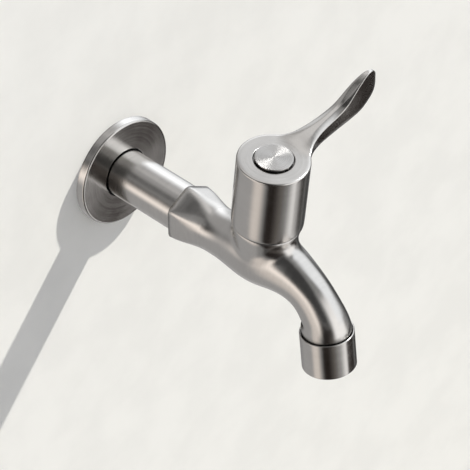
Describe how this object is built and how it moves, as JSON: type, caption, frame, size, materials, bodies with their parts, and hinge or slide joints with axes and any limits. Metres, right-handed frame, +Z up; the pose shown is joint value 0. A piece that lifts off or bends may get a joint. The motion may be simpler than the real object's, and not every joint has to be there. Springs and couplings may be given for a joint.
{
  "type": "wall tap",
  "caption": "Wall-mounted cold water tap: long inlet pipe through a cover plate, quarter-turn lever over a ceramic valve, turned-down spout with an aerator.",
  "frame": {"origin": "centre of the cover plate's back face, on the wall, on the inlet pipe's axis", "axes": "-Y along the pipe, out of the wall; +Z up; +X to the right of someone who faces the wall, the way the lever points when it is open"},
  "size_m": [0.0859, 0.1588, 0.1125],
  "materials": {
    "steel": "brushed",
    "dark_steel": "plain",
    "brass": "machined",
    "rubber": "matt",
    "foam": "matt",
    "ceramic": "lapped",
    "plastic": "moulded",
    "dark_plastic": "moulded"
  },
  "bodies": {
    "tap": {"tap_body": "steel", "inlet_pipe": "steel", "pipe_o_ring": "rubber", "cartridge_body": "brass", "cartridge_head_ring": "rubber", "seat_seal": "rubber", "fixed_ceramic_disc": "ceramic", "aerator_shell": "steel", "aerator_washer": "rubber", "aerator_cage": "plastic", "aerator_diffuser": "plastic", "aerator_screen": "dark_plastic"},
    "lever": {"handle": "steel", "handle_cap": "steel", "cap_o_ring": "rubber", "handle_screw": "dark_steel", "screw_washer": "dark_steel", "spline_insert": "plastic", "spindle": "brass", "spindle_o_rings": "rubber", "spindle_clip": "dark_steel", "glide_washer": "plastic", "moving_ceramic_disc": "ceramic"},
    "cover_plate": {"wall_flange": "steel", "flange_grip_ring": "rubber", "flange_gasket": "foam"}
  },
  "joints": [
    {"name": "handle_turn", "type": "hinge", "parent": "tap", "child": "lever", "pos_m": [0, -0.091, 0], "axis": [0, -0.1184, 0.993], "range_deg": [-90, 0]},
    {"name": "plate_slide", "type": "slide", "parent": "tap", "child": "cover_plate", "axis": [0, -1, 0], "range_m": [0, 0.0395]}
  ]
}
